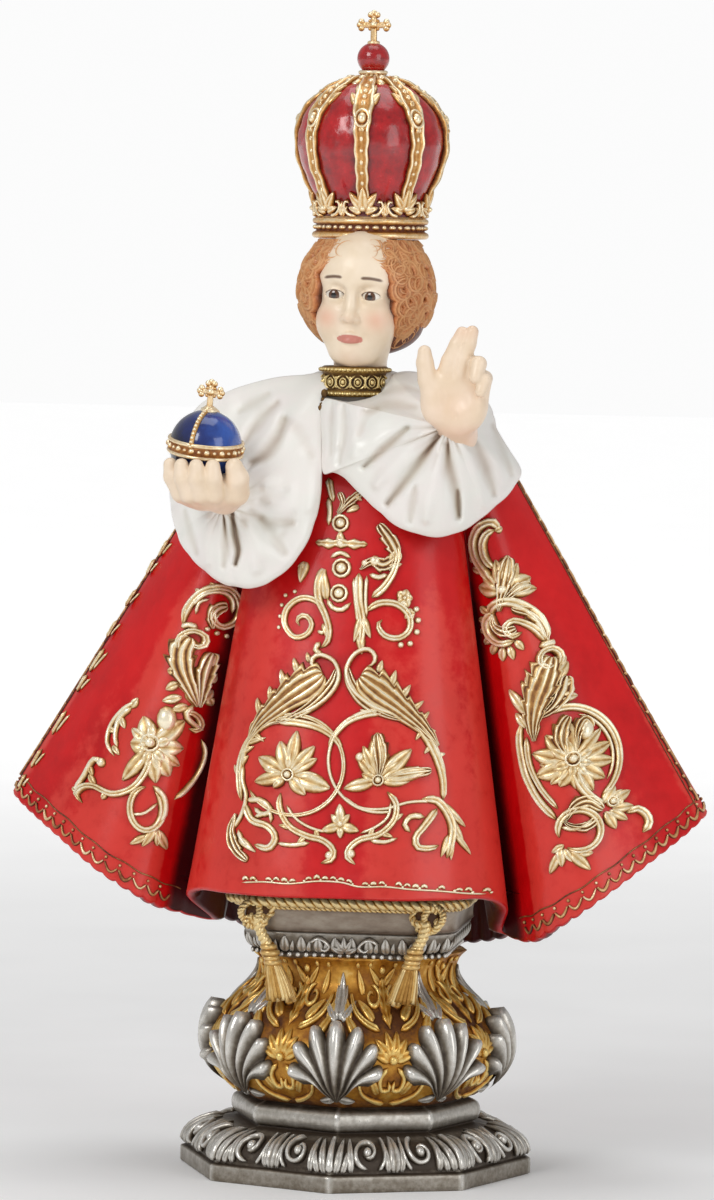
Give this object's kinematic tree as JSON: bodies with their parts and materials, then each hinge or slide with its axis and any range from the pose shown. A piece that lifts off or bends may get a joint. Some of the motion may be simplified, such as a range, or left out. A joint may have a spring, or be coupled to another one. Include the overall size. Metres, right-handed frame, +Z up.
{
  "type": "child jesus statue",
  "caption": "Painted cast statue of a crowned child in a wide red robe with gold relief, one hand raised, the other holding an orb, on an octagonal baroque pedestal.",
  "frame": {"origin": "centre of the plinth's underside, where the statue stands", "axes": "+Z up the statue, the figure faces -Y, +X is to the right of somebody who looks at its face"},
  "size_m": [0.1816, 0.1005, 0.2998],
  "materials": {
    "robe_paint": "gloss red paint on cast resin, darker in the folds",
    "crown_gilding": "antique gold paint on cast resin, red enamel between the ribs",
    "orb_enamel": "gloss blue enamel on cast resin, gold bands",
    "pedestal_silver": "antique silver and gold paint on cast resin, brown in the hollows"
  },
  "bodies": {
    "root": {"figure": "robe_paint", "crown": "crown_gilding", "orb": "orb_enamel", "pedestal": "pedestal_silver"}
  },
  "joints": []
}
